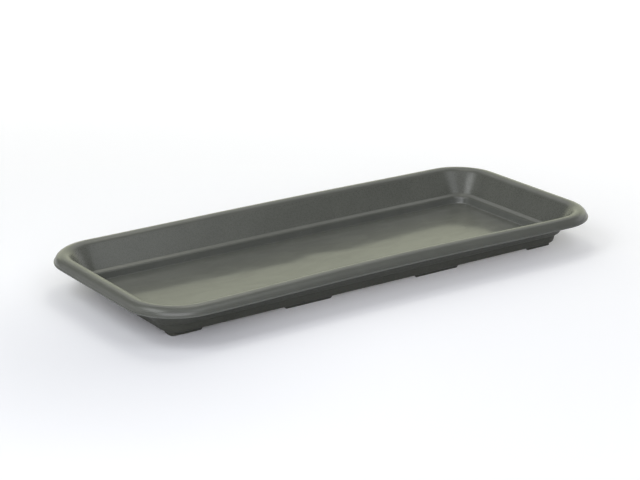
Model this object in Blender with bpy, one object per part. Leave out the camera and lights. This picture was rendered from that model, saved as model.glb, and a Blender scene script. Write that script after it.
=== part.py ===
"""Planter box saucer: the long, shallow drip tray that a planter box stands in.

The tray is one thin-walled moulding. One section, from the lip of the rolled rim down to the floor, runs
round a rectangle with rounded corners. Ribs under the edge of the floor are its feet.
Metres, +Z up. The origin is on the ground under the middle of the tray, and the length lies along X.
"""

import math

import bmesh
import bpy
from mathutils import Matrix, Vector

# Overall size, over the lip.
LENGTH = 0.600
WIDTH = 0.260
RIM_HEIGHT = 0.0454
WALL = 0.0023

# Plan radii of the corners, at the lip and at the edge of the floor.
CORNER_RADIUS = 0.058
FLOOR_CORNER_RADIUS = 0.017

# Rolled rim, half round outside and hollow below, with a thin lip round its bottom edge.
RIM_RADIUS = 0.0098
LIP_REACH = 0.0008
LIP_THICKNESS = 0.0014
LIP_EDGE_FILLET = 0.0003

# Wall below the rim: a sloping upper wall, a narrow shoulder, then a steep lower wall. Slopes in degrees.
UPPER_WALL_SLOPE = 54.0
SHOULDER_ABOVE_FLOOR = 0.0106
SHOULDER_WIDTH = 0.0050
SHOULDER_SLOPE = 25.0
LOWER_WALL_SLOPE = 84.0
SHOULDER_BACK_FILLET = 0.0020
SHOULDER_EDGE_FILLET = 0.0030
FLOOR_FILLET = 0.0008
SHARPEST_FILLET = 0.0004

# The end walls are steeper than the side walls above the shoulder and less steep below it, so towards the
# ends the shoulder reaches further out than the sides' inset gives, and the floor a little further.
END_SHOULDER_GAIN = 0.0024
END_FLOOR_GAIN = 0.0008

# The long sides of the thin moulding draw in and rise towards the middle of their length.
SIDE_DRAW_IN = 0.0026
SIDE_RISE = 0.0020

# Feet: a rib under the edge of the floor, broken by gaps. Lengths are at the ground.
FOOT_HEIGHT = 0.0053
FOOT_SIDE_SETBACK = 0.0063
FOOT_END_SETBACK = 0.0047
FOOT_CORNER_RADIUS = 0.0050
FOOT_THICKNESS = 0.0026
FOOT_DRAFT = 0.0007
FOOT_END_RUN = 0.0040
MID_FOOT_LENGTH = 0.057
MID_FOOT_FROM_CENTRE = 0.0864
CORNER_FOOT_LONG_LEG = 0.035
CORNER_FOOT_SHORT_LEG = 0.0125

# Stub that the moulding gate leaves under the middle of the floor.
GATE_RADIUS = 0.0035
GATE_HEIGHT = 0.0006

# Facets of the rounded stretches.
ROLL_STEPS = 9
FILLET_STEPS = 3
EDGE_STEPS = 2
CORNER_STEPS = 9
LONG_SIDE_STEPS = 10
END_STEPS = 4
FOOT_CORNER_STEPS = 6
GATE_STEPS = 16

FLOOR_TOP = FOOT_HEIGHT + WALL
SMOOTH_BELOW = math.radians(40.0)

TRAY_COLOUR = (0.105, 0.112, 0.092, 1.0)
TRAY_ROUGHNESS = 0.42


def clear_scene():
    """Remove whatever the scene holds."""
    for obj in list(bpy.data.objects):
        bpy.data.objects.remove(obj, do_unlink=True)


def downhill(slope, drop):
    """Step inwards and down a wall of this slope, in degrees, that loses the given height."""
    return Vector((drop / math.tan(math.radians(slope)), -drop))


def under(corner, slope_before, slope_after):
    """Corner of the hidden face behind a corner of the show face, one wall thickness away from both sides."""
    before, after = (
        Vector((-math.sin(math.radians(slope)), -math.cos(math.radians(slope))))
        for slope in (slope_before, slope_after)
    )
    return corner + (before + after) * (WALL / (1.0 + before.dot(after)))


def arc(centre, start, turn, steps):
    """Points round a centre, from start through an angle in radians."""
    spoke = start - centre
    return [centre + Matrix.Rotation(turn * step / steps, 2) @ spoke for step in range(steps + 1)]


def fillet(before, corner, after, radius, steps):
    """Arc that rounds the corner between two straight stretches."""
    back = (before - corner).normalized()
    ahead = (after - corner).normalized()
    half = back.angle(ahead) / 2
    centre = corner + (back + ahead).normalized() * (radius / math.sin(half))
    start = corner + back * (radius / math.tan(half))
    turn = math.copysign(math.pi - 2 * half, -back.cross(ahead))
    return arc(centre, start, turn, steps)


def rounded(corners, radii, steps):
    """Points along a chain of straight stretches, with each inner corner rounded."""
    points = []
    for before, corner, after, radius in zip(corners, corners[1:], corners[2:], radii):
        points += fillet(before, corner, after, radius, steps)
    return points


def wall_corners():
    """Corners of the show face, as (inset from the lip, height): rim, shoulder back and edge, floor edge."""
    roll_centre = Vector((LIP_REACH + RIM_RADIUS, RIM_HEIGHT - RIM_RADIUS))
    slope = math.radians(UPPER_WALL_SLOPE)
    rim_foot = roll_centre + RIM_RADIUS * Vector((math.sin(slope), math.cos(slope)))
    shoulder_height = FLOOR_TOP + SHOULDER_ABOVE_FLOOR
    shoulder_back = rim_foot + downhill(UPPER_WALL_SLOPE, rim_foot.y - shoulder_height)
    shoulder_edge = shoulder_back + downhill(
        SHOULDER_SLOPE, SHOULDER_WIDTH * math.tan(math.radians(SHOULDER_SLOPE))
    )
    floor_edge = shoulder_edge + downhill(LOWER_WALL_SLOPE, shoulder_edge.y - FLOOR_TOP)
    return roll_centre, rim_foot, shoulder_back, shoulder_edge, floor_edge


def show_face():
    """Points of the show face, from the outer corner of the lip over the rim and down to the floor."""
    roll_centre, rim_foot, shoulder_back, shoulder_edge, floor_edge = wall_corners()
    roll_rise = math.asin(LIP_THICKNESS / RIM_RADIUS)
    roll_start = roll_centre + RIM_RADIUS * Vector((-math.cos(roll_rise), math.sin(roll_rise)))
    roll_turn = math.pi / 2 + math.radians(UPPER_WALL_SLOPE) - roll_rise
    lip_top = Vector((0.0, roll_start.y))
    lip_bottom = Vector((0.0, roll_centre.y))
    points = rounded(
        [roll_centre, lip_bottom, lip_top, roll_start],
        [LIP_EDGE_FILLET, LIP_EDGE_FILLET],
        EDGE_STEPS,
    )
    points += arc(roll_centre, roll_start, -roll_turn, ROLL_STEPS)
    floor = floor_edge + Vector((FLOOR_CORNER_RADIUS, 0.0))
    points += rounded(
        [rim_foot, shoulder_back, shoulder_edge, floor_edge, floor],
        [SHOULDER_BACK_FILLET, SHOULDER_EDGE_FILLET, FLOOR_FILLET],
        FILLET_STEPS,
    )
    return points


def hidden_face():
    """Points of the hidden face, from under the floor up to the inner corner of the lip."""
    roll_centre, rim_foot, shoulder_back, shoulder_edge, floor_edge = wall_corners()
    hollow_radius = RIM_RADIUS - WALL
    slope = math.radians(UPPER_WALL_SLOPE)
    roll_foot = roll_centre + hollow_radius * Vector((math.sin(slope), math.cos(slope)))
    heel = under(floor_edge, LOWER_WALL_SLOPE, 0.0)
    edge = under(shoulder_edge, SHOULDER_SLOPE, LOWER_WALL_SLOPE)
    back = under(shoulder_back, UPPER_WALL_SLOPE, SHOULDER_SLOPE)
    floor = heel + Vector((FLOOR_CORNER_RADIUS, 0.0))
    points = rounded(
        [floor, heel, edge, back, roll_foot],
        [
            FLOOR_FILLET + WALL,
            max(SHOULDER_EDGE_FILLET - WALL, SHARPEST_FILLET),
            SHOULDER_BACK_FILLET + WALL,
        ],
        FILLET_STEPS,
    )
    points += arc(roll_centre, roll_foot, math.pi / 2 + slope, ROLL_STEPS)
    return points


def share(value, start, end):
    """How much of the way from start to end a value has gone, from 0 to 1."""
    return min(max((value - start) / (end - start), 0.0), 1.0)


def half_sizes(inset, height):
    """Half length and half width of the outline at this inset from the lip and this height."""
    _, rim_foot, shoulder_back, shoulder_edge, _ = wall_corners()
    gain = END_SHOULDER_GAIN * share(inset, rim_foot.x, shoulder_back.x)
    gain -= (END_SHOULDER_GAIN - END_FLOOR_GAIN) * share(height, shoulder_edge.y, FLOOR_TOP)
    return LENGTH / 2 - inset + gain, WIDTH / 2 - inset


def rounded_rectangle(half_x, half_y, radius, corner_steps, long_steps, end_steps):
    """Points round a rectangle with rounded corners, anticlockwise from the +X end."""
    corners = []
    for quarter, (side_x, side_y) in enumerate([(1, 1), (-1, 1), (-1, -1), (1, -1)]):
        centre = Vector((side_x * (half_x - radius), side_y * (half_y - radius)))
        start = centre + Matrix.Rotation(quarter * math.pi / 2, 2) @ Vector((radius, 0.0))
        corners.append(arc(centre, start, math.pi / 2, corner_steps))
    points = []
    for quarter, corner in enumerate(corners):
        steps = end_steps if quarter % 2 else long_steps
        following = corners[(quarter + 1) % 4][0]
        points += corner
        points += [corner[-1].lerp(following, step / steps) for step in range(1, steps)]
    return points


def sprung(point, height):
    """Place on the finished wall of a point of the nominal outline."""
    rise = max(height - FLOOR_TOP, 0.0) / (RIM_HEIGHT - FLOOR_TOP)
    along = min(abs(point.x) / (LENGTH / 2 - CORNER_RADIUS), 1.0)
    amount = rise * (1.0 - along**2) ** 2
    drawn_in = math.copysign(SIDE_DRAW_IN * amount, point.y)
    return Vector((point.x, point.y - drawn_in, height + SIDE_RISE * amount))


def wall_loop(section_point, floor_inset):
    """Ring of points round the tray at one point of the section."""
    inset, height = section_point
    half_x, half_y = half_sizes(inset, height)
    radius = CORNER_RADIUS + (FLOOR_CORNER_RADIUS - CORNER_RADIUS) * inset / floor_inset
    outline = rounded_rectangle(half_x, half_y, radius, CORNER_STEPS, LONG_SIDE_STEPS, END_STEPS)
    return [sprung(point, height) for point in outline]


def ring_edges(mesh, ring):
    """Edges between neighbouring vertices of a ring."""
    return [mesh.edges.get((ring[index - 1], vert)) for index, vert in enumerate(ring)]


def add_ring(mesh, points):
    """Ring of vertices at the points, joined by edges."""
    ring = [mesh.verts.new(point) for point in points]
    for index, vert in enumerate(ring):
        mesh.edges.new((ring[index - 1], vert))
    return ring


def extrude_ring(mesh, ring, points):
    """Extrude the ring and move the new one to the points."""
    made = set(bmesh.ops.extrude_edge_only(mesh, edges=ring_edges(mesh, ring))["geom"])
    drawn = []
    for vert, point in zip(ring, points):
        edge = next(edge for edge in vert.link_edges if edge.other_vert(vert) in made)
        drawn.append(edge.other_vert(vert))
        drawn[-1].co = point
    return drawn


def sweep_rings(mesh, rings):
    """Surface through the rings of points. Returns its first and last ring of vertices."""
    first = last = add_ring(mesh, rings[0])
    for points in rings[1:]:
        last = extrude_ring(mesh, last, points)
    return first, last


def make_object(name, mesh):
    """Object from a bmesh, with its faces pointing out, smooth but for its sharp edges."""
    bmesh.ops.recalc_face_normals(mesh, faces=mesh.faces)
    data = bpy.data.meshes.new(name)
    mesh.to_mesh(data)
    mesh.free()
    data.shade_smooth()
    data.set_sharp_from_angle(angle=SMOOTH_BELOW)
    obj = bpy.data.objects.new(name, data)
    bpy.context.scene.collection.objects.link(obj)
    return obj


def make_helper(name, mesh):
    """Solid that only shapes another one, so it isn't part of the tray."""
    helper = make_object(name, mesh)
    helper.hide_render = True
    helper.display_type = "WIRE"
    return helper


def boolean(target, helper, operation):
    """Cut the helper from the target, or join it on."""
    modifier = target.modifiers.new(helper.name, "BOOLEAN")
    modifier.operation = operation
    modifier.object = helper


def make_shell():
    """Floor, wall and rim: the section carried round the tray, closed by the two faces of the floor."""
    mesh = bmesh.new()
    floor_inset = wall_corners()[-1].x
    rings = [wall_loop(point, floor_inset) for point in hidden_face() + show_face()]
    for edge_ring in sweep_rings(mesh, rings):
        bmesh.ops.edgeloop_fill(mesh, edges=ring_edges(mesh, edge_ring))
    return make_object("saucer_tray", mesh)


def foot_half_sizes():
    """Half length and half width over the outer faces of the feet, at the ground."""
    floor_edge = wall_corners()[-1]
    half_x, half_y = half_sizes(floor_edge.x, floor_edge.y)
    return half_x - FOOT_END_SETBACK, half_y - FOOT_SIDE_SETBACK


def make_foot_ribs():
    """One rib all round under the edge of the floor, rooted half a wall deep in it and drafted on both sides."""
    half_x, half_y = foot_half_sizes()
    root = FOOT_HEIGHT + WALL / 2
    spread = FOOT_DRAFT * root / FOOT_HEIGHT
    rings = []
    for inset, height in (
        (-spread, root),
        (FOOT_THICKNESS + spread, root),
        (FOOT_THICKNESS, 0.0),
        (0.0, 0.0),
    ):
        outline = rounded_rectangle(
            half_x - inset, half_y - inset, FOOT_CORNER_RADIUS - inset, FOOT_CORNER_STEPS, 1, 1
        )
        rings.append([Vector((point.x, point.y, height)) for point in outline])
    mesh = bmesh.new()
    first, last = sweep_rings(mesh, rings)
    bmesh.ops.bridge_loops(mesh, edges=ring_edges(mesh, first) + ring_edges(mesh, last))
    return make_helper("foot_ribs", mesh)


def add_gap(mesh, low, high):
    """Block that removes a rib between two plan corners at the ground and leaves sloping foot ends."""
    bottom, top = -FOOT_HEIGHT, FOOT_HEIGHT + WALL
    block = bmesh.ops.create_cube(mesh, size=2.0)["verts"]
    middle = (low + high) / 2
    for vert in block:
        height = top if vert.co.z > 0 else bottom
        half = (high - low) / 2 - Vector((1.0, 1.0)) * (FOOT_END_RUN * height / FOOT_HEIGHT)
        vert.co = (middle.x + half.x * vert.co.x, middle.y + half.y * vert.co.y, height)


def make_side_gaps():
    """Gaps between the feet of both long sides: one in the middle and one on each side of it."""
    half_x, _ = foot_half_sizes()
    inner_end = MID_FOOT_FROM_CENTRE - MID_FOOT_LENGTH / 2
    outer_end = MID_FOOT_FROM_CENTRE + MID_FOOT_LENGTH / 2
    corner_end = half_x - CORNER_FOOT_LONG_LEG
    mesh = bmesh.new()
    for start, end in ((-inner_end, inner_end), (outer_end, corner_end), (-corner_end, -outer_end)):
        add_gap(mesh, Vector((start, -WIDTH / 2)), Vector((end, WIDTH / 2)))
    return make_helper("foot_gaps_sides", mesh)


def make_end_gaps():
    """Gap between the corner feet, across both ends."""
    _, half_y = foot_half_sizes()
    corner_end = half_y - CORNER_FOOT_SHORT_LEG
    mesh = bmesh.new()
    add_gap(mesh, Vector((-LENGTH / 2, -corner_end)), Vector((LENGTH / 2, corner_end)))
    return make_helper("foot_gaps_ends", mesh)


def make_gate_stub():
    """Round stub under the middle of the floor, rooted half a wall deep in it."""
    height = GATE_HEIGHT + WALL / 2
    mesh = bmesh.new()
    bmesh.ops.create_cone(
        mesh,
        cap_ends=True,
        segments=GATE_STEPS,
        radius1=GATE_RADIUS,
        radius2=GATE_RADIUS,
        depth=height,
        matrix=Matrix.Translation((0.0, 0.0, FOOT_HEIGHT - GATE_HEIGHT + height / 2)),
    )
    return make_helper("gate_stub", mesh)


def make_plastic():
    """Olive-grey satin polypropylene."""
    material = bpy.data.materials.new("olive_grey_plastic")
    material.use_nodes = True
    shader = material.node_tree.nodes["Principled BSDF"]
    shader.inputs["Base Color"].default_value = TRAY_COLOUR
    shader.inputs["Roughness"].default_value = TRAY_ROUGHNESS
    shader.inputs["Metallic"].default_value = 0.0
    return material


def build_tray():
    """The whole saucer: the shell with its feet and the gate stub joined on."""
    ribs = make_foot_ribs()
    boolean(ribs, make_side_gaps(), "DIFFERENCE")
    boolean(ribs, make_end_gaps(), "DIFFERENCE")
    tray = make_shell()
    boolean(tray, ribs, "UNION")
    boolean(tray, make_gate_stub(), "UNION")
    tray.data.materials.append(make_plastic())
    return tray


def main():
    clear_scene()
    build_tray()


main()
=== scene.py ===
"""Studio picture of a planter box saucer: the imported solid, dressed as satin moulded plastic."""

import logging
import math
from collections.abc import Iterable
from dataclasses import dataclass, field
from enum import Enum

import bmesh
import bpy
from mathutils import Matrix, Vector


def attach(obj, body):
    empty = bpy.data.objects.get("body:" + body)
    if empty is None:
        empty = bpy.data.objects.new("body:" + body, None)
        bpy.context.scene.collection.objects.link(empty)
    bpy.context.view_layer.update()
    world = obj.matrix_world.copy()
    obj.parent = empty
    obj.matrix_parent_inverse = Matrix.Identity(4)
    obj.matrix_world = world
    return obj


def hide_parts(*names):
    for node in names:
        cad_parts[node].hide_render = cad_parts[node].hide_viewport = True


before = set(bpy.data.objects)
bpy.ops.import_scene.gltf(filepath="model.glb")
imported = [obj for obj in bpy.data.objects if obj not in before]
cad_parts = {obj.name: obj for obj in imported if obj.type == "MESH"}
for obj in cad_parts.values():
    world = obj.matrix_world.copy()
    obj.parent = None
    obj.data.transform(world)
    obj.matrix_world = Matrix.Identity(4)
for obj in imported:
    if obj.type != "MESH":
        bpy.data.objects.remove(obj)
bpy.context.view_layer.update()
NODE = "saucer_tray"
BODY = "root"

log = logging.getLogger("saucer")

Ring = list[bmesh.types.BMVert]
Value = bpy.types.NodeSocket | float | tuple[float, ...]


class Surface(Enum):
    """Which stretch of the tray's skin a face belongs to; the value is its material index."""

    LIP = 0
    RIM = 1
    UPPER_WALL = 2
    LOWER_WALL = 3
    FLOOR = 4
    HIDDEN = 5


@dataclass(frozen=True)
class Station:
    """One ring of the swept wall: its inset from the lip, its height, and the finish up to it."""

    inset: float
    height: float
    surface: Surface


def fresh_object(
    name: str, mesh: bmesh.types.BMesh, finishes: Iterable[bpy.types.Material]
) -> bpy.types.Object:
    """Turn a bmesh into an object at the origin.

    Args:
        name: Name of the object and of its mesh.
        mesh: The bmesh, which is freed.
        finishes: Materials, in the order of the faces' material indices.

    Returns:
        The linked object, shaded smooth.
    """
    data = bpy.data.meshes.new(name)
    mesh.to_mesh(data)
    mesh.free()
    data.shade_smooth()
    for finish in finishes:
        data.materials.append(finish)
    piece = bpy.data.objects.new(name, data)
    bpy.context.scene.collection.objects.link(piece)
    return piece


def share(value: float, start: float, end: float) -> float:
    """How much of the way from start to end a value has gone, from 0 to 1."""
    return min(max((value - start) / (end - start), 0.0), 1.0)


def spoke(angle: float, radius: float) -> Vector:
    """Arm of the section plane, turned by this angle in degrees from outwards towards up."""
    turn = math.radians(angle)
    return Vector((-math.cos(turn), math.sin(turn))) * radius


@dataclass(frozen=True)
class WallSection:
    """Section through the wall: rim with its lip, upper wall, shoulder, lower wall, floor edge."""

    rim_height: float = 0.0454
    wall: float = 0.0023
    rim_radius: float = 0.0098
    lip_reach: float = 0.0008
    lip_thickness: float = 0.0014
    upper_slope: float = 54.0
    shoulder_above_floor: float = 0.0106
    shoulder_width: float = 0.0050
    shoulder_slope: float = 25.0
    lower_slope: float = 84.0
    floor_under: float = 0.0053
    back_fillet: float = 0.0020
    edge_fillet: float = 0.0030
    floor_fillet: float = 0.0008
    lip_fillet: float = 0.0003
    floor_run: float = 0.0100
    roll_steps: int = 26
    fillet_steps: int = 7
    flat_steps: int = 3

    @property
    def floor_top(self) -> float:
        """Height of the inner floor."""
        return self.floor_under + self.wall

    @property
    def roll_centre(self) -> Vector:
        """Centre of the rolled rim."""
        return Vector((self.lip_reach + self.rim_radius, self.rim_height - self.rim_radius))

    def downhill(self, slope: float, drop: float) -> Vector:
        """Step inwards and down a wall of this slope, in degrees, that loses the given height."""
        return Vector((drop / math.tan(math.radians(slope)), -drop))

    def corners(self) -> list[Vector]:
        """Corners of the show face.

        Returns:
            The roll's foot, the shoulder's back and edge, and the floor's edge.
        """
        foot = self.roll_centre + spoke(180.0 - (90.0 - self.upper_slope), self.rim_radius)
        back = foot + self.downhill(
            self.upper_slope, foot.y - self.floor_top - self.shoulder_above_floor
        )
        fall = self.shoulder_width * math.tan(math.radians(self.shoulder_slope))
        edge = back + self.downhill(self.shoulder_slope, fall)
        floor = edge + self.downhill(self.lower_slope, edge.y - self.floor_top)
        return [foot, back, edge, floor]

    def behind(self, corner: Vector, slope_before: float, slope_after: float) -> Vector:
        """Corner of the hidden face behind one of the show face.

        Args:
            corner: The show face's corner.
            slope_before: Slope of the stretch before it, in degrees.
            slope_after: Slope of the stretch after it, in degrees.

        Returns:
            The point one wall thickness away from both stretches.
        """
        before, after = (
            Vector((-math.sin(math.radians(slope)), -math.cos(math.radians(slope))))
            for slope in (slope_before, slope_after)
        )
        return corner + (before + after) * (self.wall / (1.0 + before.dot(after)))

    def arc(self, centre: Vector, start: Vector, turn: float, steps: int) -> list[Vector]:
        """Points round a centre.

        Args:
            centre: The arc's centre.
            start: Its first point.
            turn: Its angle, in radians.
            steps: How many chords it has.

        Returns:
            The points, both ends included.
        """
        arm = start - centre
        return [centre + Matrix.Rotation(turn * step / steps, 2) @ arm for step in range(steps + 1)]

    def rounded(self, corners: list[Vector], radii: list[float]) -> list[list[Vector]]:
        """Round the inner corners of a chain of straight stretches.

        Args:
            corners: The chain's corners, its two ends included.
            radii: One radius for each inner corner.

        Returns:
            The arc's points at each inner corner.
        """
        arcs = []
        for before, corner, after, radius in zip(corners, corners[1:], corners[2:], radii):
            back, ahead = (before - corner).normalized(), (after - corner).normalized()
            half = back.angle(ahead) / 2
            centre = corner + (back + ahead).normalized() * (radius / math.sin(half))
            start = corner + back * (radius / math.tan(half))
            turn = math.copysign(math.pi - 2 * half, -back.cross(ahead))
            arcs.append(self.arc(centre, start, turn, self.fillet_steps))
        return arcs

    def flat(self, start: Vector, end: Vector) -> list[Vector]:
        """Points between two ends of a straight stretch, without the ends."""
        return [start.lerp(end, step / self.flat_steps) for step in range(1, self.flat_steps)]

    def show_face(self) -> list[Station]:
        """Stations of the show face.

        Returns:
            From the lip's outer edge over the rim and down to the edge of the floor.
        """
        foot, back, edge, floor = self.corners()
        centre = self.roll_centre
        rise = math.degrees(math.asin(self.lip_thickness / self.rim_radius))
        start = centre + spoke(rise, self.rim_radius)
        lip = self.rounded(
            [centre, Vector((0.0, centre.y)), Vector((0.0, start.y)), start], [self.lip_fillet] * 2
        )
        turn = math.radians(90.0 + self.upper_slope - rise)
        roll = self.arc(centre, start, -turn, self.roll_steps)
        bends = self.rounded(
            [foot, back, edge, floor, floor + Vector((self.floor_run, 0.0))],
            [self.back_fillet, self.edge_fillet, self.floor_fillet],
        )
        upper = self.flat(roll[-1], bends[0][0]) + bends[0][:1]
        lower = self.flat(bends[1][-1], bends[2][0]) + bends[2]
        stretches = (
            (lip[0] + lip[1], Surface.LIP),
            (roll, Surface.RIM),
            (upper, Surface.UPPER_WALL),
            (bends[0][1:] + bends[1], Surface.RIM),
            (lower, Surface.LOWER_WALL),
        )
        return [
            Station(point.x, point.y, surface) for points, surface in stretches for point in points
        ]

    def hidden_face(self) -> list[Station]:
        """Stations of the hidden face.

        Returns:
            From under the floor's edge up the outside of the wall and round the rim's hollow.
        """
        foot, back, edge, floor = self.corners()
        centre = self.roll_centre
        hollow = self.rim_radius - self.wall
        roll_foot = centre + (foot - centre) * (hollow / self.rim_radius)
        heel = self.behind(floor, self.lower_slope, 0.0)
        bends = self.rounded(
            [
                heel + Vector((self.floor_run, 0.0)),
                heel,
                self.behind(edge, self.shoulder_slope, self.lower_slope),
                self.behind(back, self.upper_slope, self.shoulder_slope),
                roll_foot,
            ],
            [
                self.floor_fillet + self.wall,
                self.edge_fillet - self.wall,
                self.back_fillet + self.wall,
            ],
        )
        roll = self.arc(centre, roll_foot, math.radians(90.0 + self.upper_slope), self.roll_steps)
        points = bends[0] + self.flat(bends[0][-1], bends[1][0]) + bends[1] + bends[2]
        points += self.flat(bends[2][-1], roll[0]) + roll
        return [Station(point.x, point.y, Surface.HIDDEN) for point in points]


@dataclass(frozen=True)
class Outline:
    """Level rounded rectangle about the tray's middle."""

    half_x: float
    half_y: float
    radius: float
    height: float

    def centre(self, side_x: int, side_y: int) -> Vector:
        """Centre of a corner, or of the part between two corners where a side is 0."""
        reach_x, reach_y = self.half_x - self.radius, self.half_y - self.radius
        return Vector((side_x * reach_x, side_y * reach_y, self.height))


class OutlineSweep:
    """Surface drawn ring by ring, where each ring is a rounded rectangle."""

    SLACK = 1e-6

    def __init__(self, start: Outline, corner_steps: int, long_cuts: int, end_cuts: int) -> None:
        """Draw the first ring.

        Args:
            start: Its outline.
            corner_steps: Chords in each corner.
            long_cuts: Points between the ends of each long side.
            end_cuts: Points between the ends of each short side.
        """
        self.mesh = bmesh.new()
        self.outline = start
        plate = bmesh.ops.create_grid(self.mesh, x_segments=1, y_segments=1, size=1.0)["verts"]
        bmesh.ops.scale(self.mesh, vec=(start.half_x, start.half_y, 1.0), verts=plate)
        bmesh.ops.translate(self.mesh, vec=(0.0, 0.0, start.height), verts=plate)
        bmesh.ops.bevel(
            self.mesh,
            geom=self.mesh.verts[:],
            offset=start.radius,
            offset_type="OFFSET",
            segments=corner_steps,
            profile=0.5,
            affect="VERTICES",
            material=-1,
        )
        straight = sorted(self.mesh.edges, key=lambda edge: edge.calc_length())[-4:]
        for sides, cuts in ((straight[2:], long_cuts), (straight[:2], end_cuts)):
            bmesh.ops.subdivide_edges(self.mesh, edges=sides, cuts=cuts)
        bmesh.ops.delete(self.mesh, geom=self.mesh.faces[:], context="FACES_ONLY")
        self.first = self.last = self.in_order()
        self.sectors = self.sort_places()

    def in_order(self) -> Ring:
        """Vertices of the mesh's only loop of edges, one after the other."""
        vert = self.mesh.verts[:][0]
        edge = vert.link_edges[0]
        ring = []
        while not ring or vert is not ring[0]:
            ring.append(vert)
            vert = edge.other_vert(vert)
            edge = next(other for other in vert.link_edges if other is not edge)
        return ring

    def sort_places(self) -> dict[tuple[int, int], list[int]]:
        """Sort the places round the ring into corners and straight stretches.

        Returns:
            Places round the ring, keyed by the side of the middle they are on along X and along Y.
        """
        limit = self.outline.centre(1, 1)
        found: dict[tuple[int, int], list[int]] = {}
        for place, vert in enumerate(self.last):
            key = tuple(
                (value > edge - self.SLACK) - (value < self.SLACK - edge)
                for value, edge in ((vert.co.x, limit.x), (vert.co.y, limit.y))
            )
            found.setdefault(key, []).append(place)
        return found

    def edges(self, ring: Ring) -> list[bmesh.types.BMEdge]:
        """Edges between neighbours in a ring."""
        return [self.mesh.edges.get((ring[place - 1], vert)) for place, vert in enumerate(ring)]

    def draw_to(self, outline: Outline, surface: Surface) -> None:
        """Extrude the last ring and fit the new one to an outline.

        Each corner is scaled about its own centre and moved with it. The straight stretches are
        stretched along themselves and moved out or in.

        Args:
            outline: Where the new ring goes.
            surface: The finish of the new stretch.
        """
        made = set(bmesh.ops.extrude_edge_only(self.mesh, edges=self.edges(self.last))["geom"])
        for face in (item for item in made if isinstance(item, bmesh.types.BMFace)):
            face.material_index = surface.value
        drawn = []
        for vert in self.last:
            rung = next(edge for edge in vert.link_edges if edge.other_vert(vert) in made)
            drawn.append(rung.other_vert(vert))
        swell = outline.radius / self.outline.radius
        old, new = self.outline.centre(1, 1), outline.centre(1, 1)
        for (side_x, side_y), places in self.sectors.items():
            grow = (swell if side_x else new.x / old.x, swell if side_y else new.y / old.y)
            move = (
                Matrix.Translation(outline.centre(side_x, side_y))
                @ Matrix.Diagonal((*grow, 1.0, 1.0))
                @ Matrix.Translation(-self.outline.centre(side_x, side_y))
            )
            bmesh.ops.transform(self.mesh, matrix=move, verts=[drawn[place] for place in places])
        self.last, self.outline = drawn, outline

    def cap(self, ring: Ring, surface: Surface) -> None:
        """Close a ring with a flat face.

        Args:
            ring: The first or the last ring.
            surface: The finish of the face.
        """
        for face in bmesh.ops.edgeloop_fill(self.mesh, edges=self.edges(ring))["faces"]:
            face.material_index = surface.value

    def close_round(self, surface: Surface) -> None:
        """Join the last ring to the first.

        Args:
            surface: The finish of the new stretch.
        """
        edges = self.edges(self.first) + self.edges(self.last)
        for face in bmesh.ops.bridge_loops(self.mesh, edges=edges)["faces"]:
            face.material_index = surface.value


@dataclass
class TrayShell:
    """Floor, wall and rim, swept from under the floor over the rim to the inner floor."""

    length: float = 0.600
    width: float = 0.260
    corner_radius: float = 0.058
    floor_corner_radius: float = 0.017
    end_shoulder_gain: float = 0.0024
    end_floor_gain: float = 0.0008
    side_draw_in: float = 0.0026
    side_rise: float = 0.0020
    section: WallSection = field(default_factory=WallSection)
    corner_steps: int = 28
    long_cuts: int = 47
    end_cuts: int = 15

    def outline(self, inset: float, height: float) -> Outline:
        """Outline of the wall.

        Args:
            inset: How far in from the lip.
            height: Height above the ground.

        Returns:
            The outline before the moulding springs.
        """
        foot, back, edge, floor = self.section.corners()
        gain = self.end_shoulder_gain * share(inset, foot.x, back.x)
        gain -= (self.end_shoulder_gain - self.end_floor_gain) * share(height, edge.y, floor.y)
        radius = self.corner_radius
        radius += (self.floor_corner_radius - radius) * inset / floor.x
        return Outline(self.length / 2 - inset + gain, self.width / 2 - inset, radius, height)

    def spring(self, mesh: bmesh.types.BMesh) -> None:
        """Draw the long sides in and up towards their middle, as a thin moulding springs."""
        floor, crest = self.section.floor_top, self.section.rim_height
        reach = self.length / 2 - self.corner_radius
        for vert in mesh.verts:
            rise = max(vert.co.z - floor, 0.0) / (crest - floor)
            along = min(abs(vert.co.x) / reach, 1.0)
            amount = rise * (1.0 - along**2) ** 2
            vert.co.y -= math.copysign(self.side_draw_in * amount, vert.co.y)
            vert.co.z += self.side_rise * amount

    def model(self) -> bmesh.types.BMesh:
        """Draw the whole shell.

        Returns:
            A closed bmesh with its faces pointing out.
        """
        stations = self.section.hidden_face() + self.section.show_face()
        start = self.outline(stations[0].inset, stations[0].height)
        sweep = OutlineSweep(start, self.corner_steps, self.long_cuts, self.end_cuts)
        for station in stations[1:]:
            sweep.draw_to(self.outline(station.inset, station.height), station.surface)
        sweep.cap(sweep.first, Surface.HIDDEN)
        sweep.cap(sweep.last, Surface.FLOOR)
        self.spring(sweep.mesh)
        bmesh.ops.recalc_face_normals(sweep.mesh, faces=sweep.mesh.faces)
        return sweep.mesh


@dataclass(frozen=True)
class FootEnd:
    """End face of a foot: a point of it at the ground, and the way out of the foot there."""

    at: Vector
    outward: Vector


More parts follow.
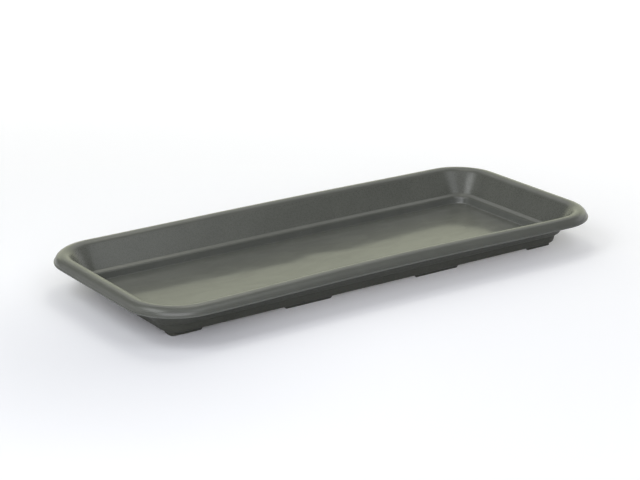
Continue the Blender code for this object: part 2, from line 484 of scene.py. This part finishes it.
@dataclass
class FootRibs:
    """Rib under the edge of the floor, cut into feet that lean out towards their tops."""

    shell: TrayShell
    side_setback: float = 0.0063
    end_setback: float = 0.0047
    corner_radius: float = 0.0050
    thickness: float = 0.0026
    draft: float = 0.0007
    end_run: float = 0.0040
    mid_length: float = 0.057
    mid_from_centre: float = 0.0864
    long_leg: float = 0.035
    short_leg: float = 0.0125
    edge_radius: float = 0.0004
    edge_steps: int = 2
    cut_slack: float = 1e-7
    sharp_angle: float = math.radians(50.0)
    corner_steps: int = 12

    @property
    def height(self) -> float:
        """Height of the feet."""
        return self.shell.section.floor_under

    def face(self) -> Outline:
        """Outer face of the ribs at the ground."""
        edge = self.shell.section.corners()[-1]
        floor = self.shell.outline(edge.x, edge.y)
        half_x, half_y = floor.half_x - self.end_setback, floor.half_y - self.side_setback
        return Outline(half_x, half_y, self.corner_radius, 0.0)

    def ring(self) -> bmesh.types.BMesh:
        """Draw the rib all round, rooted half a wall deep in the floor.

        Returns:
            A closed bmesh.
        """
        face = self.face()
        root = self.height + self.shell.section.wall / 2
        spread = self.draft * root / self.height
        inner = self.thickness + spread
        outlines = [
            Outline(face.half_x - inset, face.half_y - inset, face.radius - inset, height)
            for inset, height in (
                (-spread, root),
                (inner, root),
                (self.thickness, 0.0),
                (0.0, 0.0),
            )
        ]
        sweep = OutlineSweep(outlines[0], self.corner_steps, 0, 0)
        for outline in outlines[1:]:
            sweep.draw_to(outline, Surface.HIDDEN)
        sweep.close_round(Surface.HIDDEN)
        bmesh.ops.recalc_face_normals(sweep.mesh, faces=sweep.mesh.faces)
        return sweep.mesh

    def foot(self, ring: bmesh.types.BMesh, ends: Iterable[FootEnd]) -> bmesh.types.BMesh:
        """Cut a foot, or a pair across the tray, out of the ring.

        Args:
            ring: The whole ring, which is left as it is.
            ends: The two end faces.

        Returns:
            The closed foot.
        """
        foot = ring.copy()
        for end in ends:
            bmesh.ops.bisect_plane(
                foot,
                geom=foot.verts[:] + foot.edges[:] + foot.faces[:],
                dist=self.cut_slack,
                plane_co=end.at,
                plane_no=end.outward * self.height - Vector((0.0, 0.0, self.end_run)),
                clear_outer=True,
            )
            bmesh.ops.holes_fill(foot, edges=foot.edges[:], sides=0)
        bmesh.ops.recalc_face_normals(foot, faces=foot.faces)
        sharp = [edge for edge in foot.edges if edge.calc_face_angle(0.0) > self.sharp_angle]
        bmesh.ops.bevel(
            foot,
            geom=sharp,
            offset=self.edge_radius,
            offset_type="OFFSET",
            segments=self.edge_steps,
            profile=0.5,
            affect="EDGES",
            material=-1,
        )
        for face in foot.faces:
            face.material_index = Surface.HIDDEN.value
        return foot

    def end_faces(self) -> list[tuple[FootEnd, FootEnd]]:
        """Place the end faces of all feet.

        Returns:
            A pair for each middle foot and its twin across the tray, and one for each corner foot.
        """
        face = self.face()
        near, far = (self.mid_from_centre + side * self.mid_length / 2 for side in (-1, 1))
        leg_x, leg_y = face.half_x - self.long_leg, face.half_y - self.short_leg
        pairs = []
        for side_x in (-1, 1):
            along = Vector((side_x, 0.0, 0.0))
            pairs.append((FootEnd(along * far, along), FootEnd(along * near, -along)))
            for side_y in (-1, 1):
                across = Vector((0.0, side_y, 0.0))
                pairs.append((FootEnd(along * leg_x, -along), FootEnd(across * leg_y, -across)))
        return pairs

    def model(self) -> bmesh.types.BMesh:
        """Draw all the feet.

        Returns:
            A bmesh of closed feet.
        """
        ring, feet = self.ring(), bmesh.new()
        for ends in self.end_faces():
            foot = self.foot(ring, ends)
            data = bpy.data.meshes.new("foot")
            foot.to_mesh(data)
            foot.free()
            feet.from_mesh(data)
            bpy.data.meshes.remove(data)
        ring.free()
        return feet


@dataclass
class GateStub:
    """Round stub that the moulding gate leaves under the middle of the floor."""

    shell: TrayShell
    radius: float = 0.0035
    height: float = 0.0006
    taper: float = 0.94
    sides: int = 40

    def model(self) -> bmesh.types.BMesh:
        """Draw the stub, rooted half a wall deep in the floor.

        Returns:
            A closed bmesh.
        """
        section = self.shell.section
        depth = self.height + section.wall / 2
        middle = section.floor_under - self.height + depth / 2
        mesh = bmesh.new()
        bmesh.ops.create_cone(
            mesh,
            cap_ends=True,
            segments=self.sides,
            radius1=self.radius * self.taper,
            radius2=self.radius,
            depth=depth,
            matrix=Matrix.Translation((0.0, 0.0, middle)),
        )
        for face in mesh.faces:
            face.material_index = Surface.HIDDEN.value
        return mesh


class Wiring:
    """A node tree, with short calls that add nodes and join them."""

    def __init__(self, tree: bpy.types.NodeTree) -> None:
        """Take the tree that the nodes go into."""
        self.tree = tree

    def add(self, kind: str, inputs: dict[str | int, Value], **settings: object) -> bpy.types.Node:
        """Add a node.

        Args:
            kind: The node's type.
            inputs: Sockets to join to its inputs, or values to set there, by name or number.
            settings: The node's own settings.

        Returns:
            The new node.
        """
        node = self.tree.nodes.new(kind)
        for name, setting in settings.items():
            setattr(node, name, setting)
        for key, value in inputs.items():
            if isinstance(value, bpy.types.NodeSocket):
                self.tree.links.new(value, node.inputs[key])
            else:
                node.inputs[key].default_value = value
        return node

    def calculate(self, operation: str, *values: Value) -> bpy.types.NodeSocket:
        """Add a Math node and return its result."""
        inputs = dict(enumerate(values))
        return self.add("ShaderNodeMath", inputs, operation=operation).outputs[0]

    def noise(
        self, place: Value, scale: Value, detail: float, uneven: float = 0.0
    ) -> bpy.types.NodeSocket:
        """Add a Noise Texture and return its value."""
        inputs = {"Vector": place, "Scale": scale, "Detail": detail, "Distortion": uneven}
        return self.add("ShaderNodeTexNoise", inputs).outputs["Fac"]

    def stretch(
        self, place: Value, turn: float, size: tuple[float, float, float]
    ) -> bpy.types.NodeSocket:
        """Turn a pattern about Z and stretch it."""
        inputs = {"Vector": place, "Rotation": (0.0, 0.0, turn), "Scale": size}
        return self.add("ShaderNodeMapping", inputs).outputs[0]

    def ramp(
        self, value: Value, low: float, high: float, to_low: float = 0.0, to_high: float = 1.0
    ) -> bpy.types.NodeSocket:
        """Carry a value smoothly from one range to another and return the result."""
        ends = {"From Min": low, "From Max": high, "To Min": to_low, "To Max": to_high}
        inputs = {"Value": value, **ends}
        node = self.add("ShaderNodeMapRange", inputs, interpolation_type="SMOOTHSTEP")
        return node.outputs[0]

    def tint(self, amount: Value, first: Value, second: Value) -> bpy.types.NodeSocket:
        """Mix two colours, which are the node's inputs 6 and 7, and return the result."""
        inputs = {0: amount, 6: first, 7: second}
        return self.add("ShaderNodeMix", inputs, data_type="RGBA").outputs[2]


class Effect:
    """Shader node group that several finishes share. It is built once."""

    name: str
    inputs: tuple[str, ...]
    outputs: tuple[str, ...]

    def wire(self, wiring: Wiring, given: dict[str, Value]) -> dict[str, Value]:
        """Lay the group's nodes.

        Args:
            wiring: The group's tree.
            given: The group's inputs, by name.

        Returns:
            What goes to each of its outputs.
        """
        raise NotImplementedError

    def tree(self) -> bpy.types.NodeTree:
        """Build the group, or find it again.

        Returns:
            The group's node tree.
        """
        known = bpy.data.node_groups.get(self.name)
        if known:
            return known
        tree = bpy.data.node_groups.new(self.name, "ShaderNodeTree")
        tree.interface.new_socket(name="Place", in_out="INPUT", socket_type="NodeSocketVector")
        for label in self.inputs:
            tree.interface.new_socket(name=label, in_out="INPUT", socket_type="NodeSocketFloat")
        for label in self.outputs:
            tree.interface.new_socket(name=label, in_out="OUTPUT", socket_type="NodeSocketFloat")
        wiring = Wiring(tree)
        entry = wiring.add("NodeGroupInput", {})
        given = {label: entry.outputs[label] for label in ("Place", *self.inputs)}
        wiring.add("NodeGroupOutput", self.wire(wiring, given))
        return tree

    def use(self, wiring: Wiring, place: Value, **values: float) -> dict[str, bpy.types.NodeSocket]:
        """Place the group in a material.

        Args:
            wiring: The material's tree.
            place: The coordinates that the pattern follows.
            values: The group's inputs, by name.

        Returns:
            Its outputs, by name.
        """
        node = wiring.add("ShaderNodeGroup", {}, node_tree=self.tree())
        wiring.tree.links.new(place, node.inputs["Place"])
        for label, value in values.items():
            node.inputs[label].default_value = value
        return {label: node.outputs[label] for label in self.outputs}


class MouldGrain(Effect):
    """Fine eroded grain that the mould prints on the plastic."""

    name = "mould_grain"
    inputs = ("Pitch",)
    outputs = ("Height", "Speckle")
    coarse_density = 0.37
    pit_rounding = 0.6
    fine_share, pit_share, coarse_share = 0.6, 0.5, 0.45
    tops = (0.52, 0.97)

    def wire(self, wiring: Wiring, given: dict[str, Value]) -> dict[str, Value]:
        """Lay the grain: rounded pits between finer bumps.

        Args:
            wiring: The group's tree.
            given: Place, and Pitch, the distance between pits in metres.

        Returns:
            Height of the grain and Speckle, the mask of its tops.
        """
        density = wiring.calculate("DIVIDE", 1.0, given["Pitch"])
        fine = wiring.noise(given["Place"], density, detail=2.0, uneven=0.4)
        wide = wiring.calculate("MULTIPLY", density, self.coarse_density)
        coarse = wiring.noise(given["Place"], wide, detail=1.0)
        pits = wiring.add(
            "ShaderNodeTexVoronoi",
            {"Vector": given["Place"], "Scale": density, "Smoothness": self.pit_rounding},
            feature="SMOOTH_F1",
        ).outputs["Distance"]
        height = wiring.calculate("MULTIPLY", pits, self.pit_share)
        height = wiring.calculate("MULTIPLY_ADD", fine, self.fine_share, height)
        height = wiring.calculate("MULTIPLY_ADD", coarse, self.coarse_share, height)
        return {"Height": height, "Speckle": wiring.ramp(height, *self.tops)}


class FlowMarks(Effect):
    """Slow swell, a ripple over the gate and cloudy streaks, left by the flow of the melt."""

    name = "flow_marks"
    inputs = ("Wave", "Swell", "Bow", "Ripple")
    outputs = ("Height", "Cloud")
    middle_across = 0.021
    broad_hump = (0.12, 0.06)
    narrow_hump = (0.0, 0.016)
    narrow_share = -1.18
    streak_shape = (1.0, 2.2, 1.0)
    streak_density = 3.0
    streak_band = (0.30, 0.72)

    def hump(
        self, wiring: Wiring, along: Value, place: tuple[float, float]
    ) -> bpy.types.NodeSocket:
        """Lay a bell curve over one stretch of the tray.

        Args:
            wiring: The group's tree.
            along: Distance along the tray.
            place: Middle and half width of the bell in metres.

        Returns:
            The bell's height, 1 in the middle.
        """
        reach = wiring.calculate("DIVIDE", wiring.calculate("SUBTRACT", along, place[0]), place[1])
        square = wiring.calculate("MULTIPLY", reach, reach)
        return wiring.calculate("EXPONENT", wiring.calculate("MULTIPLY", square, -0.5))

    def wire(self, wiring: Wiring, given: dict[str, Value]) -> dict[str, Value]:
        """Lay the swell, the ripple and the streaks.

        Args:
            wiring: The group's tree.
            given: Place; Wave, the length of a wave; Swell, its height in metres; Bow, the slope
                across the tray away from the ripple; Ripple, how much the slope changes in it.

        Returns:
            Height of the surface in metres and Cloud, the mask of the paler streaks.
        """
        density = wiring.calculate("DIVIDE", 1.0, given["Wave"])
        parts = wiring.add("ShaderNodeSeparateXYZ", {"Vector": given["Place"]}).outputs
        humps = (self.broad_hump, self.narrow_hump)
        broad, narrow = (self.hump(wiring, parts["X"], place) for place in humps)
        twist = wiring.calculate("MULTIPLY_ADD", narrow, self.narrow_share, broad)
        slope = wiring.calculate("MULTIPLY_ADD", twist, given["Ripple"], given["Bow"])
        across = wiring.calculate("SUBTRACT", parts["Y"], self.middle_across)
        slow = wiring.noise(given["Place"], density, detail=0.0)
        swell = wiring.calculate("MULTIPLY", slow, given["Swell"])
        height = wiring.calculate("MULTIPLY_ADD", across, slope, swell)
        streaks = wiring.stretch(given["Place"], 0.0, self.streak_shape)
        close = wiring.calculate("MULTIPLY", density, self.streak_density)
        cloud = wiring.noise(streaks, close, detail=2.5, uneven=0.5)
        return {"Height": height, "Cloud": wiring.ramp(cloud, *self.streak_band)}


class HandlingMarks(Effect):
    """Faint rub marks from stacking, and dust in the grain."""

    name = "handling_marks"
    inputs = ("Spacing",)
    outputs = ("Rub", "Dust")
    rub_ways = ((0.22, (0.05, 1.0, 1.0)), (1.05, (1.0, 0.07, 1.0)))
    rub_band = (0.62, 0.74)
    patch_density = 14.0
    patch_band = (0.44, 0.62)
    speck_density = 0.5
    speck_band = (0.16, 0.05)

    def wire(self, wiring: Wiring, given: dict[str, Value]) -> dict[str, Value]:
        """Lay thin rub marks two ways across the tray and sparse specks of dust.

        Args:
            wiring: The group's tree.
            given: Place, and Spacing, the distance between marks in metres.

        Returns:
            Rub, the mask of the marks, and Dust, the mask of the specks.
        """
        density = wiring.calculate("DIVIDE", 1.0, given["Spacing"])
        rubs = []
        for turn, size in self.rub_ways:
            lines = wiring.stretch(given["Place"], turn, size)
            thin = wiring.noise(lines, density, detail=2.0, uneven=0.3)
            rubs.append(wiring.ramp(thin, *self.rub_band))
        broad = wiring.noise(given["Place"], self.patch_density, detail=2.0)
        patch = wiring.ramp(broad, *self.patch_band)
        rub = wiring.calculate("MULTIPLY", wiring.calculate("MAXIMUM", *rubs), patch)
        sparse = wiring.calculate("MULTIPLY", density, self.speck_density)
        inputs = {"Vector": given["Place"], "Scale": sparse}
        speck = wiring.add("ShaderNodeTexVoronoi", inputs).outputs["Distance"]
        return {"Rub": rub, "Dust": wiring.ramp(speck, *self.speck_band)}


@dataclass(frozen=True)
class SatinPlastic:
    """Olive-grey polypropylene as one face of the mould leaves it. Lengths are in metres."""

    name: str
    colour: tuple[float, float, float]
    roughness: float
    specular: float = 0.5
    coat: float = 0.0
    coat_cloud: float = 0.0
    coat_roughness: float = 0.3
    grain_pitch: float = 0.0011
    grain_depth: float = 0.00003
    # Painted shade and light: how much darker the grain's pits and how much lighter its tops are.
    grain_shade: float = 0.08
    polish: float = 0.05
    wave_length: float = 0.11
    swell: float = 0.0
    bow: float = 0.0
    ripple: float = 0.0
    cloud: float = 0.05
    mark_spacing: float = 0.004
    rub: float = 0.03
    rub_gain: float = 1.5
    rub_lift: float = 0.02
    dust: float = 0.015
    dust_colour: tuple[float, float, float, float] = (0.34, 0.33, 0.30, 1.0)

    def tone(self, change: float) -> tuple[float, float, float, float]:
        """The plastic's colour, lighter or darker by this share."""
        return (*(part * (1.0 + change) for part in self.colour), 1.0)

    def shade(
        self, wiring: Wiring, speckle: Value, cloud: Value, marks: dict[str, Value]
    ) -> bpy.types.NodeSocket:
        """Wire the colour: pale streaks, painted shade in the grain's pits and painted light on its
        tops, pale rub marks and dust on top.

        Args:
            wiring: The material's tree.
            speckle: Mask of the grain's tops.
            cloud: Mask of the paler streaks.
            marks: Masks of the rub marks and the dust.

        Returns:
            The colour's socket.
        """
        # Painted shade darkens the grain's pits and painted light lightens its tops.
        pits, tops = (
            wiring.tint(cloud, self.tone(grain - self.cloud), self.tone(grain + self.cloud))
            for grain in (-self.grain_shade, self.grain_shade)
        )
        pale = (*(part * self.rub_gain + self.rub_lift for part in self.colour), 1.0)
        colour = wiring.tint(speckle, pits, tops)
        for mark, amount, over in (("Rub", self.rub, pale), ("Dust", self.dust, self.dust_colour)):
            colour = wiring.tint(wiring.calculate("MULTIPLY", marks[mark], amount), colour, over)
        return colour

    def relief(self, wiring: Wiring, grain: Value, waves: Value) -> bpy.types.NodeSocket:
        """Wire the normal: the waves of the moulding, then the grain on them.

        Args:
            wiring: The material's tree.
            grain: Height of the grain.
            waves: Height of the waves in metres.

        Returns:
            The normal's socket.
        """
        inputs = {"Strength": 1.0, "Distance": 1.0, "Height": waves}
        slow = wiring.add("ShaderNodeBump", inputs).outputs[0]
        inputs = {"Strength": 1.0, "Distance": self.grain_depth, "Height": grain, "Normal": slow}
        return wiring.add("ShaderNodeBump", inputs).outputs[0]

    def build(self) -> bpy.types.Material:
        """Make the material.

        Returns:
            The new material.
        """
        material = bpy.data.materials.new(self.name)
        material.use_nodes = True
        wiring = Wiring(material.node_tree)
        shader = material.node_tree.nodes["Principled BSDF"]
        place = wiring.add("ShaderNodeTexCoord", {}).outputs["Object"]
        grain = MouldGrain().use(wiring, place, Pitch=self.grain_pitch)
        flow = FlowMarks().use(
            wiring, place, Wave=self.wave_length, Swell=self.swell, Bow=self.bow, Ripple=self.ripple
        )
        marks = HandlingMarks().use(wiring, place, Spacing=self.mark_spacing)
        rough = wiring.ramp(
            grain["Speckle"], 0.0, 1.0, self.roughness + self.polish, self.roughness - self.polish
        )
        rough = wiring.calculate("MULTIPLY_ADD", marks["Rub"], self.rub, rough)
        for name, value in (
            ("Base Color", self.shade(wiring, grain["Speckle"], flow["Cloud"], marks)),
            ("Roughness", rough),
            ("Normal", self.relief(wiring, grain["Height"], flow["Height"])),
        ):
            wiring.tree.links.new(value, shader.inputs[name])
        if self.coat_cloud:
            low, high = self.coat - self.coat_cloud, self.coat + self.coat_cloud
            weight = wiring.ramp(flow["Cloud"], 0.0, 1.0, low, high)
            wiring.tree.links.new(weight, shader.inputs["Coat Weight"])
        shader.inputs["Specular IOR Level"].default_value = self.specular
        shader.inputs["Coat Weight"].default_value = self.coat
        shader.inputs["Coat Roughness"].default_value = self.coat_roughness
        return material


@dataclass(frozen=True)
class SoftBox:
    """Soft lamp that faces the tray from an elevation and a bearing, 0 along +Y, 90 along +X."""

    name: str
    bearing: float
    elevation: float
    distance: float
    width: float
    height: float
    radiance: float
    colour: tuple[float, float, float] = (1.0, 1.0, 1.0)

    def build(self) -> bpy.types.Object:
        """Hang the lamp.

        Returns:
            The lamp, which the camera itself doesn't see.
        """
        bearing, elevation = math.radians(self.bearing), math.radians(self.elevation)
        level = math.cos(elevation)
        away = Vector((math.sin(bearing) * level, math.cos(bearing) * level, math.sin(elevation)))
        data = bpy.data.lights.new(self.name, "AREA")
        data.shape = "RECTANGLE"
        data.size, data.size_y = self.width, self.height
        data.energy = self.radiance * math.pi * self.width * self.height
        data.color = self.colour
        lamp = bpy.data.objects.new(self.name, data)
        lamp.location = away * self.distance
        lamp.rotation_euler = away.to_track_quat("Z", "Y").to_euler()
        lamp.visible_camera = False
        bpy.context.scene.collection.objects.link(lamp)
        return lamp


@dataclass(frozen=True)
class Studio:
    """Pale paper floor, soft lamps and the camera. Only the camera's sensor is in millimetres."""

    focal_px: float = 1825.8
    azimuth: float = -34.8445
    elevation: float = 18.5542
    distance: float = 2.13967
    side_offset: float = -0.0119449
    forward_offset: float = 0.0951688
    frame_width: int = 640
    sensor: float = 36.0
    paper: tuple[float, float, float] = (0.785, 0.79, 0.82)
    paper_roughness: float = 0.9
    paper_reach: float = 8.0
    # The floor's glow is painted light. It lifts the shadows round the tray and whitens the paper
    # further off, and is nil at glow_middle, left of the tray, so the shadow there stays darker.
    glow_tint: tuple[float, float, float] = (1.03, 1.015, 1.0)
    glow_near: float = 0.15
    glow_far: float = 1.3
    near_reach: tuple[float, float] = (0.0, 0.35)
    far_reach: tuple[float, float] = (0.3, 3.5)
    glow_middle: tuple[float, float, float] = (-0.37, -0.09, 0.0)
    surround: float = 0.15
    # Each row gives name, bearing, elevation, distance, width, height, radiance and colour.
    boxes: tuple[SoftBox, ...] = (
        SoftBox("back_panel", 35.0, 15.0, 3.0, 5.0, 1.8, 1.1, (1.07, 1.11, 0.82)),
        SoftBox("back_box", 35.0, 50.0, 2.0, 2.4, 1.0, 1.2),
        SoftBox("left_box", -74.0, 49.0, 1.6, 0.3, 0.7, 4.6, (0.98, 1.0, 1.0)),
        SoftBox("left_front_box", -97.0, 46.0, 1.6, 0.4, 0.7, 5.2, (0.98, 1.0, 1.0)),
        SoftBox("left_panel", -60.0, 20.0, 2.2, 2.0, 0.8, 1.0),
        SoftBox("right_panel", 95.0, 18.0, 2.4, 1.6, 0.9, 1.2),
        SoftBox("front_right_box", 165.0, 50.0, 1.6, 0.8, 0.8, 1.6, (0.97, 1.0, 1.03)),
        SoftBox("front_panel", 215.0, 25.0, 2.6, 3.0, 1.2, 3.7, (0.98, 0.98, 1.04)),
        SoftBox("top_back_box", 35.0, 72.0, 1.2, 0.4, 0.4, 2.7, (1.05, 1.05, 0.90)),
        SoftBox("top_front_box", 215.0, 72.0, 1.2, 0.4, 0.4, 0.9),
    )

    def camera(self) -> bpy.types.Object:
        """Place the camera where the photo was taken from.

        Returns:
            The camera object, set as the scene's camera.
        """
        azimuth, elevation = math.radians(self.azimuth), math.radians(self.elevation)
        right = Vector((math.cos(azimuth), math.sin(azimuth), 0.0))
        forward = Vector((-math.sin(azimuth), math.cos(azimuth), 0.0))
        back = -forward * math.cos(elevation) + Vector((0.0, 0.0, math.sin(elevation)))
        target = right * self.side_offset + forward * self.forward_offset
        data = bpy.data.cameras.new("photo_camera")
        data.sensor_width = self.sensor
        data.lens = self.focal_px * self.sensor / self.frame_width
        camera = bpy.data.objects.new("photo_camera", data)
        camera.location = target + back * self.distance
        camera.rotation_euler = (-back).to_track_quat("-Z", "Y").to_euler()
        bpy.context.scene.collection.objects.link(camera)
        bpy.context.scene.camera = camera
        return camera

    def lamps(self) -> list[bpy.types.Object]:
        """Hang the lamps.

        Returns:
            All the lamps.
        """
        return [box.build() for box in self.boxes]

    def glow(self, wiring: Wiring) -> bpy.types.NodeSocket:
        """Wire the floor's glow, which is painted light: only where it is seen or mirrored, and
        stronger further away.

        Args:
            wiring: The floor's tree.

        Returns:
            The strength of the glow.
        """
        rays = wiring.add("ShaderNodeLightPath", {}).outputs
        seen = wiring.calculate("MAXIMUM", rays["Is Camera Ray"], rays["Is Glossy Ray"])
        seen = wiring.calculate("MAXIMUM", seen, rays["Is Transmission Ray"])
        place = wiring.add("ShaderNodeTexCoord", {}).outputs["Object"]
        ends = {0: place, 1: self.glow_middle}
        away = wiring.add("ShaderNodeVectorMath", ends, operation="DISTANCE").outputs["Value"]
        near = wiring.ramp(away, *self.near_reach, 0.0, self.glow_near)
        far = wiring.ramp(away, *self.far_reach, 0.0, self.glow_far)
        return wiring.calculate("MULTIPLY", seen, wiring.calculate("ADD", near, far))

    def floor(self) -> bpy.types.Object:
        """Lay the paper floor.

        From below it can't be seen, so that a view from there shows the underside of the tray.

        Returns:
            The floor, which isn't part of the object.
        """
        material = bpy.data.materials.new("white_paper")
        material.use_nodes = True
        wiring = Wiring(material.node_tree)
        shader = material.node_tree.nodes["Principled BSDF"]
        shader.inputs["Base Color"].default_value = (*self.paper, 1.0)
        shader.inputs["Roughness"].default_value = self.paper_roughness
        shader.inputs["Specular IOR Level"].default_value = 0.0
        shader.inputs["Emission Color"].default_value = (*self.glow_tint, 1.0)
        wiring.tree.links.new(self.glow(wiring), shader.inputs["Emission Strength"])
        behind = wiring.add("ShaderNodeNewGeometry", {}).outputs["Backfacing"]
        clear = wiring.add("ShaderNodeBsdfTransparent", {}).outputs[0]
        either = wiring.add("ShaderNodeMixShader", {0: behind, 1: shader.outputs[0], 2: clear})
        output = material.node_tree.nodes["Material Output"]
        wiring.tree.links.new(either.outputs[0], output.inputs["Surface"])
        mesh = bmesh.new()
        bmesh.ops.create_grid(mesh, x_segments=1, y_segments=1, size=self.paper_reach)
        floor = fresh_object("studio_floor", mesh, [material])
        return floor

    def world(self) -> None:
        """Surround the scene with dim plain light, as the rest of the room gives."""
        world = bpy.data.worlds.new("studio_surround")
        world.use_nodes = True
        background = world.node_tree.nodes["Background"]
        background.inputs["Color"].default_value = (1.0, 1.0, 1.0, 1.0)
        background.inputs["Strength"].default_value = self.surround
        bpy.context.scene.world = world


@dataclass
class Saucer:
    """The one-piece moulding: shell, feet and gate stub fused into one closed body."""

    finishes: dict[Surface, SatinPlastic]
    shell: TrayShell = field(default_factory=TrayShell)
    smooth_below: float = math.radians(38.0)

    def build(self) -> bpy.types.Object:
        """Fuse the shell, the feet and the gate stub.

        Each of the three has all the finishes, so that the fused faces keep theirs.

        Returns:
            The finished piece at the origin.
        """
        dress = [self.finishes[surface].build() for surface in Surface]
        body = fresh_object("saucer_moulding", self.shell.model(), dress)
        added = [
            fresh_object("feet", FootRibs(self.shell).model(), dress),
            fresh_object("gate_stub", GateStub(self.shell).model(), dress),
        ]
        for helper in added:
            union = body.modifiers.new(helper.name, "BOOLEAN")
            union.operation = "UNION"
            union.object = helper
        graph = bpy.context.evaluated_depsgraph_get()
        fused = bpy.data.meshes.new_from_object(body.evaluated_get(graph))
        body.modifiers.clear()
        body.data = fused
        fused.name = body.name
        for helper in added:
            bpy.data.objects.remove(helper)
        fused.shade_smooth()
        fused.set_sharp_from_angle(angle=self.smooth_below)
        return body

    def mount(self, body: bpy.types.Object) -> None:
        """Hang the finished piece on the part in place of the plain solid."""
        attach(body, BODY)
        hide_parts(NODE)


def main() -> None:
    """Build the saucer, its finishes and the studio."""
    logging.basicConfig(level=logging.INFO, format="%(name)s: %(message)s")
    bpy.context.scene.view_settings.view_transform = "Standard"
    colour = (0.085, 0.089, 0.077)
    # Lighter copy of the plastic's colour: a painted highlight along the lip and painted light on
    # the lower wall.
    lit_colour = (0.097, 0.102, 0.091)
    # Darker copy of the plastic's colour: painted shade on the outside of the wall under the rim
    # and on the underside.
    shaded_colour = (0.057, 0.060, 0.048)
    finishes = {
        # The lip is paler: a painted highlight.
        Surface.LIP: SatinPlastic("lip_edge", lit_colour, roughness=0.2, grain_shade=0.03),
        Surface.RIM: SatinPlastic(
            "satin_rim",
            colour,
            roughness=0.33,
            grain_depth=0.00007,
            grain_shade=0.02,
            polish=0.04,
        ),
        Surface.UPPER_WALL: SatinPlastic(
            "grained_wall",
            colour,
            roughness=0.29,
            grain_depth=0.00008,
            grain_shade=0.012,
            polish=0.03,
            dust=0.006,
        ),
        # The lower wall is paler: painted light.
        Surface.LOWER_WALL: SatinPlastic(
            "lower_wall", lit_colour, roughness=0.24, grain_shade=0.02, polish=0.03
        ),
        Surface.FLOOR: SatinPlastic(
            "smooth_floor",
            colour,
            roughness=0.09,
            specular=0.1,
            coat=0.6,
            coat_cloud=0.05,
            coat_roughness=0.4,
            grain_depth=0.000004,
            grain_shade=0.02,
            polish=0.02,
            swell=0.0004,
            bow=-0.0095,
            ripple=-0.011,
            cloud=0.045,
        ),
        # The hidden faces are darker: painted shade under the rim.
        Surface.HIDDEN: SatinPlastic(
            "hidden_faces",
            shaded_colour,
            roughness=0.5,
            specular=0.35,
            grain_depth=0.0001,
            grain_shade=0.1,
        ),
    }
    saucer = Saucer(finishes)
    body = saucer.build()
    saucer.mount(body)
    log.info("%s: %d faces, %d finishes", body.name, len(body.data.polygons), len(finishes))
    studio = Studio()
    studio.floor()
    studio.world()
    studio.lamps()
    studio.camera()


if __name__ == "__main__":
    main()
